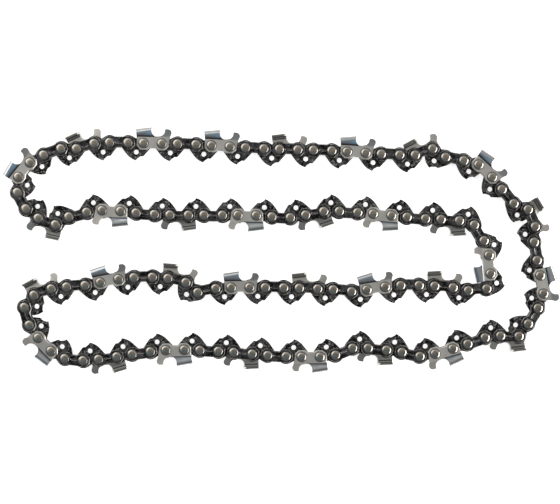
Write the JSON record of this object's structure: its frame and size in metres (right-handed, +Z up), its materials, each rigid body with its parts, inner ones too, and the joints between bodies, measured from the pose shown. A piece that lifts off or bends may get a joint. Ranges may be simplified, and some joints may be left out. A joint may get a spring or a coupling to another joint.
{
  "type": "chainsaw chain loop",
  "caption": "Closed loop of saw chain lying on its side: hooked drive links riveted between tie straps, with cutters on alternate sides; it runs in a bar groove on a sprocket.",
  "frame": {"origin": "under the middle of the lay, on the surface that the chain lies on", "axes": "+Z up through the rivets, +X along the long runs to the right of the picture, +Y to the picture's top"},
  "size_m": [0.2702, 0.1202, 0.0056],
  "materials": {
    "cutter_steel": "satin plated cutters over dark oiled links",
    "link_steel": "dark oiled steel, bright at the rivet heads"
  },
  "bodies": {
    "links_01": {"right_cutter_set_01": "cutter_steel"},
    "links_02": {"tie_set_02": "link_steel"},
    "links_03": {"left_cutter_set_03": "cutter_steel"},
    "links_04": {"tie_set_04": "link_steel"},
    "links_05": {"right_cutter_set_05": "cutter_steel"},
    "links_06": {"tie_set_06": "link_steel"},
    "links_07": {"left_cutter_set_07": "cutter_steel"},
    "links_08": {"tie_set_08": "link_steel"},
    "links_09": {"right_cutter_set_09": "cutter_steel"},
    "links_10_11": {"tie_and_left_cutter_set_10": "cutter_steel"},
    "links_12": {"tie_set_12": "link_steel"},
    "links_13": {"right_cutter_set_13": "cutter_steel"},
    "links_14": {"tie_set_14": "link_steel"},
    "links_15": {"left_cutter_set_15": "cutter_steel"},
    "links_16": {"tie_set_16": "link_steel"},
    "links_17": {"right_cutter_set_17": "cutter_steel"},
    "links_18": {"tie_set_18": "link_steel"},
    "links_19": {"left_cutter_set_19": "cutter_steel"},
    "links_20": {"tie_set_20": "link_steel"},
    "links_21_22": {"right_cutter_and_tie_set_21": "cutter_steel"},
    "links_23": {"left_cutter_set_23": "cutter_steel"},
    "links_24": {"tie_set_24": "link_steel"},
    "links_25": {"right_cutter_set_25": "cutter_steel"},
    "links_26": {"tie_set_26": "link_steel"},
    "links_27": {"left_cutter_set_27": "cutter_steel"},
    "links_28": {"tie_set_28": "link_steel"},
    "links_29": {"right_cutter_set_29": "cutter_steel"},
    "links_30": {"tie_set_30": "link_steel"},
    "links_31": {"left_cutter_set_31": "cutter_steel"},
    "links_32_33": {"tie_and_right_cutter_set_32": "cutter_steel"},
    "links_34": {"tie_set_34": "link_steel"},
    "links_35": {"left_cutter_set_35": "cutter_steel"},
    "links_36": {"tie_set_36": "link_steel"},
    "links_37": {"right_cutter_set_37": "cutter_steel"},
    "links_38": {"tie_set_38": "link_steel"},
    "links_39": {"left_cutter_set_39": "cutter_steel"},
    "links_40": {"tie_set_40": "link_steel"},
    "links_41": {"right_cutter_set_41": "cutter_steel"},
    "links_42": {"tie_set_42": "link_steel"},
    "links_43_44": {"left_cutter_and_tie_set_43": "cutter_steel"},
    "links_45": {"right_cutter_set_45": "cutter_steel"},
    "links_46": {"tie_set_46": "link_steel"},
    "links_47": {"left_cutter_set_47": "cutter_steel"},
    "links_48": {"tie_set_48": "link_steel"},
    "links_49": {"right_cutter_set_49": "cutter_steel"},
    "links_50": {"tie_set_50": "link_steel"},
    "links_51": {"left_cutter_set_51": "cutter_steel"},
    "links_52": {"tie_set_52": "link_steel"},
    "links_53": {"right_cutter_set_53": "cutter_steel"},
    "links_54_55": {"tie_and_left_cutter_set_54": "cutter_steel"},
    "links_56": {"tie_set_56": "link_steel"},
    "links_57": {"right_cutter_set_57": "cutter_steel"},
    "links_58": {"tie_set_58": "link_steel"},
    "links_59": {"left_cutter_set_59": "cutter_steel"},
    "links_60": {"tie_set_60": "link_steel"},
    "links_61": {"right_cutter_set_61": "cutter_steel"},
    "links_62": {"tie_set_62": "link_steel"},
    "links_63": {"left_cutter_set_63": "cutter_steel"},
    "links_64": {"tie_set_64": "link_steel"},
    "links_65_66": {"right_cutter_and_tie_set_65": "cutter_steel"}
  },
  "joints": [
    {"name": "pivot_34_35", "type": "hinge", "parent": "links_34", "child": "links_35", "pos_m": [-0.0623, -0.01285, 0.00278], "axis": [0, 0, 1], "range_deg": [-3, 10]},
    {"name": "pivot_35_36", "type": "hinge", "parent": "links_35", "child": "links_36", "pos_m": [-0.04604, -0.01539, 0.00278], "axis": [0, 0, 1], "range_deg": [-9.1, 2.74]},
    {"name": "pivot_36_37", "type": "hinge", "parent": "links_36", "child": "links_37", "pos_m": [-0.03155, -0.01834, 0.00278], "axis": [0, 0, 1], "range_deg": [-3.02, 10.06]},
    {"name": "pivot_37_38", "type": "hinge", "parent": "links_37", "child": "links_38", "pos_m": [-0.01505, -0.01781, 0.00278], "axis": [0, 0, 1], "range_deg": [-9.15, 2.75]},
    {"name": "pivot_38_39", "type": "hinge", "parent": "links_38", "child": "links_39", "pos_m": [0.00146, -0.01798, 0.00278], "axis": [0, 0, 1], "range_deg": [-3.04, 10.13]},
    {"name": "pivot_39_40", "type": "hinge", "parent": "links_39", "child": "links_40", "pos_m": [0.01796, -0.01848, 0.00278], "axis": [0, 0, 1], "range_deg": [-9.14, 2.75]},
    {"name": "pivot_40_41", "type": "hinge", "parent": "links_40", "child": "links_41", "pos_m": [0.03441, -0.01983, 0.00278], "axis": [0, 0, 1], "range_deg": [-3.07, 10.19]},
    {"name": "pivot_41_42", "type": "hinge", "parent": "links_41", "child": "links_42", "pos_m": [0.05076, -0.01756, 0.00278], "axis": [0, 0, 1], "range_deg": [-9.17, 2.76]},
    {"name": "pivot_42_43", "type": "hinge", "parent": "links_42", "child": "links_43_44", "pos_m": [0.06723, -0.01682, 0.00278], "axis": [0, 0, 1], "range_deg": [-3.07, 10.22]},
    {"name": "pivot_44_45", "type": "hinge", "parent": "links_43_44", "child": "links_45", "pos_m": [0.10003, -0.01845, 0.00278], "axis": [0, 0, 1], "range_deg": [-4.66, 1.41]},
    {"name": "pivot_45_46", "type": "hinge", "parent": "links_45", "child": "links_46", "pos_m": [0.10118, -0.00223, 0.00278], "axis": [0, 0, 1], "range_deg": [-4.92, 1.48]},
    {"name": "pivot_46_47", "type": "hinge", "parent": "links_46", "child": "links_47", "pos_m": [0.09403, 0.01255, 0.00278], "axis": [0, 0, 1], "range_deg": [-2.81, 9.34]},
    {"name": "pivot_47_48", "type": "hinge", "parent": "links_47", "child": "links_48", "pos_m": [0.07783, 0.01523, 0.00278], "axis": [0, 0, 1], "range_deg": [-9.73, 2.93]},
    {"name": "pivot_48_49", "type": "hinge", "parent": "links_48", "child": "links_49", "pos_m": [0.06136, 0.01634, 0.00278], "axis": [0, 0, 1], "range_deg": [-2.82, 9.38]},
    {"name": "pivot_49_50", "type": "hinge", "parent": "links_49", "child": "links_50", "pos_m": [0.04493, 0.01794, 0.00278], "axis": [0, 0, 1], "range_deg": [-9.73, 2.93]},
    {"name": "pivot_50_51", "type": "hinge", "parent": "links_50", "child": "links_51", "pos_m": [0.02846, 0.01914, 0.00278], "axis": [0, 0, 1], "range_deg": [-1.38, 4.59]},
    {"name": "pivot_51_52", "type": "hinge", "parent": "links_51", "child": "links_52", "pos_m": [0.01211, 0.0174, 0.00278], "axis": [0, 0, 1], "range_deg": [-1.34, 4.45]},
    {"name": "pivot_52_53", "type": "hinge", "parent": "links_52", "child": "links_53", "pos_m": [-0.00427, 0.01653, 0.00278], "axis": [0, 0, 1], "range_deg": [-9.92, 2.98]},
    {"name": "pivot_53_54", "type": "hinge", "parent": "links_53", "child": "links_54_55", "pos_m": [-0.02076, 0.01726, 0.00278], "axis": [0, 0, 1], "range_deg": [-2.78, 9.26]},
    {"name": "pivot_55_56", "type": "hinge", "parent": "links_54_55", "child": "links_56", "pos_m": [-0.05378, 0.01739, 0.00278], "axis": [0, 0, 1], "range_deg": [-9.95, 2.99]},
    {"name": "pivot_56_57", "type": "hinge", "parent": "links_56", "child": "links_57", "pos_m": [-0.07025, 0.01838, 0.00278], "axis": [0, 0, 1], "range_deg": [-2.79, 9.27]},
    {"name": "pivot_57_58", "type": "hinge", "parent": "links_57", "child": "links_58", "pos_m": [-0.0867, 0.01958, 0.00278], "axis": [0, 0, 1], "range_deg": [-10.02, 3.01]},
    {"name": "pivot_58_59", "type": "hinge", "parent": "links_58", "child": "links_59", "pos_m": [-0.10287, 0.01645, 0.00278], "axis": [0, 0, 1], "range_deg": [-2.77, 9.2]},
    {"name": "pivot_59_60", "type": "hinge", "parent": "links_59", "child": "links_60", "pos_m": [-0.11775, 0.01579, 0.00278], "axis": [0, 0, 1], "range_deg": [-10.12, 3.04]},
    {"name": "pivot_60_61", "type": "hinge", "parent": "links_60", "child": "links_61", "pos_m": [-0.12793, 0.02829, 0.00278], "axis": [0, 0, 1], "range_deg": [-2.85, 9.49]},
    {"name": "pivot_61_62", "type": "hinge", "parent": "links_61", "child": "links_62", "pos_m": [-0.12174, 0.04278, 0.00278], "axis": [0, 0, 1], "range_deg": [-9.96, 2.99]},
    {"name": "pivot_62_63", "type": "hinge", "parent": "links_62", "child": "links_63", "pos_m": [-0.10676, 0.04959, 0.00278], "axis": [0, 0, 1], "range_deg": [-2.82, 9.37]},
    {"name": "pivot_63_64", "type": "hinge", "parent": "links_63", "child": "links_64", "pos_m": [-0.09062, 0.0521, 0.00278], "axis": [0, 0, 1], "range_deg": [-9.79, 2.95]},
    {"name": "pivot_64_65", "type": "hinge", "parent": "links_64", "child": "links_65_66", "pos_m": [-0.07413, 0.05248, 0.00278], "axis": [0, 0, 1], "range_deg": [-2.8, 9.3]},
    {"name": "pivot_33_34", "type": "hinge", "parent": "links_34", "child": "links_32_33", "pos_m": [-0.07877, -0.01382, 0.00278], "axis": [0, 0, 1], "range_deg": [-2.75, 9.14]},
    {"name": "pivot_31_32", "type": "hinge", "parent": "links_32_33", "child": "links_31", "pos_m": [-0.11143, -0.01844, 0.00278], "axis": [0, 0, 1], "range_deg": [-9.9, 2.98]},
    {"name": "pivot_30_31", "type": "hinge", "parent": "links_31", "child": "links_30", "pos_m": [-0.12452, -0.02749, 0.00278], "axis": [0, 0, 1], "range_deg": [-2.86, 9.52]},
    {"name": "pivot_29_30", "type": "hinge", "parent": "links_30", "child": "links_29", "pos_m": [-0.11782, -0.04233, 0.00278], "axis": [0, 0, 1], "range_deg": [-10.06, 3.03]},
    {"name": "pivot_28_29", "type": "hinge", "parent": "links_29", "child": "links_28", "pos_m": [-0.10491, -0.05234, 0.00278], "axis": [0, 0, 1], "range_deg": [-2.96, 9.85]},
    {"name": "pivot_27_28", "type": "hinge", "parent": "links_28", "child": "links_27", "pos_m": [-0.08847, -0.05273, 0.00278], "axis": [0, 0, 1], "range_deg": [-9.58, 2.88]},
    {"name": "pivot_26_27", "type": "hinge", "parent": "links_27", "child": "links_26", "pos_m": [-0.07215, -0.05026, 0.00278], "axis": [0, 0, 1], "range_deg": [-2.95, 9.82]},
    {"name": "pivot_25_26", "type": "hinge", "parent": "links_26", "child": "links_25", "pos_m": [-0.05576, -0.04829, 0.00278], "axis": [0, 0, 1], "range_deg": [-9.57, 2.88]},
    {"name": "pivot_24_25", "type": "hinge", "parent": "links_25", "child": "links_24", "pos_m": [-0.03926, -0.04835, 0.00278], "axis": [0, 0, 1], "range_deg": [-2.98, 9.91]},
    {"name": "pivot_23_24", "type": "hinge", "parent": "links_24", "child": "links_23", "pos_m": [-0.02278, -0.04931, 0.00278], "axis": [0, 0, 1], "range_deg": [-9.51, 2.86]},
    {"name": "pivot_22_23", "type": "hinge", "parent": "links_23", "child": "links_21_22", "pos_m": [-0.00633, -0.0508, 0.00278], "axis": [0, 0, 1], "range_deg": [-3, 9.97]},
    {"name": "pivot_20_21", "type": "hinge", "parent": "links_21_22", "child": "links_20", "pos_m": [0.02663, -0.05072, 0.00278], "axis": [0, 0, 1], "range_deg": [-9.55, 2.87]},
    {"name": "pivot_19_20", "type": "hinge", "parent": "links_20", "child": "links_19", "pos_m": [0.04245, -0.04729, 0.00278], "axis": [0, 0, 1], "range_deg": [-2.93, 9.74]},
    {"name": "pivot_18_19", "type": "hinge", "parent": "links_19", "child": "links_18", "pos_m": [0.05883, -0.04932, 0.00278], "axis": [0, 0, 1], "range_deg": [-9.67, 2.91]},
    {"name": "pivot_17_18", "type": "hinge", "parent": "links_18", "child": "links_17", "pos_m": [0.07502, -0.05003, 0.00278], "axis": [0, 0, 1], "range_deg": [-2.93, 9.73]},
    {"name": "pivot_16_17", "type": "hinge", "parent": "links_17", "child": "links_16", "pos_m": [0.09082, -0.04527, 0.00278], "axis": [0, 0, 1], "range_deg": [-9.57, 2.88]},
    {"name": "pivot_15_16", "type": "hinge", "parent": "links_16", "child": "links_15", "pos_m": [0.10674, -0.04132, 0.00278], "axis": [0, 0, 1], "range_deg": [-2.92, 9.7]},
    {"name": "pivot_14_15", "type": "hinge", "parent": "links_15", "child": "links_14", "pos_m": [0.12021, -0.03547, 0.00278], "axis": [0, 0, 1], "range_deg": [-9.56, 2.88]},
    {"name": "pivot_13_14", "type": "hinge", "parent": "links_14", "child": "links_13", "pos_m": [0.12769, -0.02084, 0.00278], "axis": [0, 0, 1], "range_deg": [-2.82, 9.39]},
    {"name": "pivot_12_13", "type": "hinge", "parent": "links_13", "child": "links_12", "pos_m": [0.1245, -0.00465, 0.00278], "axis": [0, 0, 1], "range_deg": [-9.59, 2.88]},
    {"name": "pivot_11_12", "type": "hinge", "parent": "links_12", "child": "links_10_11", "pos_m": [0.12361, 0.01174, 0.00278], "axis": [0, 0, 1], "range_deg": [-2.78, 9.24]},
    {"name": "pivot_09_10", "type": "hinge", "parent": "links_10_11", "child": "links_09", "pos_m": [0.10281, 0.03576, 0.00278], "axis": [0, 0, 1], "range_deg": [-9.45, 2.84]},
    {"name": "pivot_08_09", "type": "hinge", "parent": "links_09", "child": "links_08", "pos_m": [0.08891, 0.04379, 0.00278], "axis": [0, 0, 1], "range_deg": [-2.85, 9.47]},
    {"name": "pivot_07_08", "type": "hinge", "parent": "links_08", "child": "links_07", "pos_m": [0.07378, 0.04954, 0.00278], "axis": [0, 0, 1], "range_deg": [-9.57, 2.88]},
    {"name": "pivot_06_07", "type": "hinge", "parent": "links_07", "child": "links_06", "pos_m": [0.0578, 0.04651, 0.00278], "axis": [0, 0, 1], "range_deg": [-2.9, 9.63]},
    {"name": "pivot_05_06", "type": "hinge", "parent": "links_06", "child": "links_05", "pos_m": [0.04132, 0.0475, 0.00278], "axis": [0, 0, 1], "range_deg": [-9.48, 2.85]},
    {"name": "pivot_04_05", "type": "hinge", "parent": "links_05", "child": "links_04", "pos_m": [0.02484, 0.04855, 0.00278], "axis": [0, 0, 1], "range_deg": [-2.89, 9.62]},
    {"name": "pivot_03_04", "type": "hinge", "parent": "links_04", "child": "links_03", "pos_m": [0.00834, 0.04905, 0.00278], "axis": [0, 0, 1], "range_deg": [-9.5, 2.86]},
    {"name": "pivot_02_03", "type": "hinge", "parent": "links_03", "child": "links_02", "pos_m": [-0.00816, 0.04955, 0.00278], "axis": [0, 0, 1], "range_deg": [-2.89, 9.63]},
    {"name": "pivot_01_02", "type": "hinge", "parent": "links_02", "child": "links_01", "pos_m": [-0.02464, 0.05053, 0.00278], "axis": [0, 0, 1], "range_deg": [-9.5, 2.86]}
  ],
  "couplings": [
    {"joint": "pivot_35_36", "follows": "pivot_34_35", "ratio": -0.90925},
    {"joint": "pivot_36_37", "follows": "pivot_34_35", "ratio": 1.0048},
    {"joint": "pivot_37_38", "follows": "pivot_34_35", "ratio": -0.91433},
    {"joint": "pivot_38_39", "follows": "pivot_34_35", "ratio": 1.0115},
    {"joint": "pivot_39_40", "follows": "pivot_34_35", "ratio": -0.9135},
    {"joint": "pivot_40_41", "follows": "pivot_34_35", "ratio": 1.0185},
    {"joint": "pivot_41_42", "follows": "pivot_34_35", "ratio": -0.91647},
    {"joint": "pivot_42_43", "follows": "pivot_34_35", "ratio": 1.0205},
    {"joint": "pivot_44_45", "follows": "pivot_34_35", "ratio": -0.46539},
    {"joint": "pivot_45_46", "follows": "pivot_34_35", "ratio": -0.49146},
    {"joint": "pivot_46_47", "follows": "pivot_34_35", "ratio": 0.93293},
    {"joint": "pivot_47_48", "follows": "pivot_34_35", "ratio": -0.97184},
    {"joint": "pivot_48_49", "follows": "pivot_34_35", "ratio": 0.93703},
    {"joint": "pivot_49_50", "follows": "pivot_34_35", "ratio": -0.97182},
    {"joint": "pivot_50_51", "follows": "pivot_34_35", "ratio": 0.45767},
    {"joint": "pivot_51_52", "follows": "pivot_34_35", "ratio": 0.4436},
    {"joint": "pivot_52_53", "follows": "pivot_34_35", "ratio": -0.9908},
    {"joint": "pivot_53_54", "follows": "pivot_34_35", "ratio": 0.92475},
    {"joint": "pivot_55_56", "follows": "pivot_34_35", "ratio": -0.99405},
    {"joint": "pivot_56_57", "follows": "pivot_34_35", "ratio": 0.92637},
    {"joint": "pivot_57_58", "follows": "pivot_34_35", "ratio": -1.0014},
    {"joint": "pivot_58_59", "follows": "pivot_34_35", "ratio": 0.91931},
    {"joint": "pivot_59_60", "follows": "pivot_34_35", "ratio": -1.0107},
    {"joint": "pivot_60_61", "follows": "pivot_34_35", "ratio": 0.94752},
    {"joint": "pivot_61_62", "follows": "pivot_34_35", "ratio": -0.99473},
    {"joint": "pivot_62_63", "follows": "pivot_34_35", "ratio": 0.93615},
    {"joint": "pivot_63_64", "follows": "pivot_34_35", "ratio": -0.97842},
    {"joint": "pivot_64_65", "follows": "pivot_34_35", "ratio": 0.92902},
    {"joint": "pivot_33_34", "follows": "pivot_34_35", "ratio": 0.91334},
    {"joint": "pivot_31_32", "follows": "pivot_34_35", "ratio": -0.98936},
    {"joint": "pivot_30_31", "follows": "pivot_34_35", "ratio": 0.951},
    {"joint": "pivot_29_30", "follows": "pivot_34_35", "ratio": -1.0052},
    {"joint": "pivot_28_29", "follows": "pivot_34_35", "ratio": 0.98379},
    {"joint": "pivot_27_28", "follows": "pivot_34_35", "ratio": -0.95739},
    {"joint": "pivot_26_27", "follows": "pivot_34_35", "ratio": 0.98066},
    {"joint": "pivot_25_26", "follows": "pivot_34_35", "ratio": -0.95568},
    {"joint": "pivot_24_25", "follows": "pivot_34_35", "ratio": 0.99001},
    {"joint": "pivot_23_24", "follows": "pivot_34_35", "ratio": -0.9503},
    {"joint": "pivot_22_23", "follows": "pivot_34_35", "ratio": 0.99567},
    {"joint": "pivot_20_21", "follows": "pivot_34_35", "ratio": -0.95396},
    {"joint": "pivot_19_20", "follows": "pivot_34_35", "ratio": 0.97297},
    {"joint": "pivot_18_19", "follows": "pivot_34_35", "ratio": -0.96619},
    {"joint": "pivot_17_18", "follows": "pivot_34_35", "ratio": 0.9718},
    {"joint": "pivot_16_17", "follows": "pivot_34_35", "ratio": -0.9559},
    {"joint": "pivot_15_16", "follows": "pivot_34_35", "ratio": 0.96854},
    {"joint": "pivot_14_15", "follows": "pivot_34_35", "ratio": -0.95544},
    {"joint": "pivot_13_14", "follows": "pivot_34_35", "ratio": 0.93796},
    {"joint": "pivot_12_13", "follows": "pivot_34_35", "ratio": -0.95781},
    {"joint": "pivot_11_12", "follows": "pivot_34_35", "ratio": 0.92293},
    {"joint": "pivot_09_10", "follows": "pivot_34_35", "ratio": -0.94404},
    {"joint": "pivot_08_09", "follows": "pivot_34_35", "ratio": 0.94574},
    {"joint": "pivot_07_08", "follows": "pivot_34_35", "ratio": -0.95628},
    {"joint": "pivot_06_07", "follows": "pivot_34_35", "ratio": 0.96239},
    {"joint": "pivot_05_06", "follows": "pivot_34_35", "ratio": -0.94667},
    {"joint": "pivot_04_05", "follows": "pivot_34_35", "ratio": 0.96131},
    {"joint": "pivot_03_04", "follows": "pivot_34_35", "ratio": -0.94918},
    {"joint": "pivot_02_03", "follows": "pivot_34_35", "ratio": 0.96154},
    {"joint": "pivot_01_02", "follows": "pivot_34_35", "ratio": -0.94878}
  ]
}
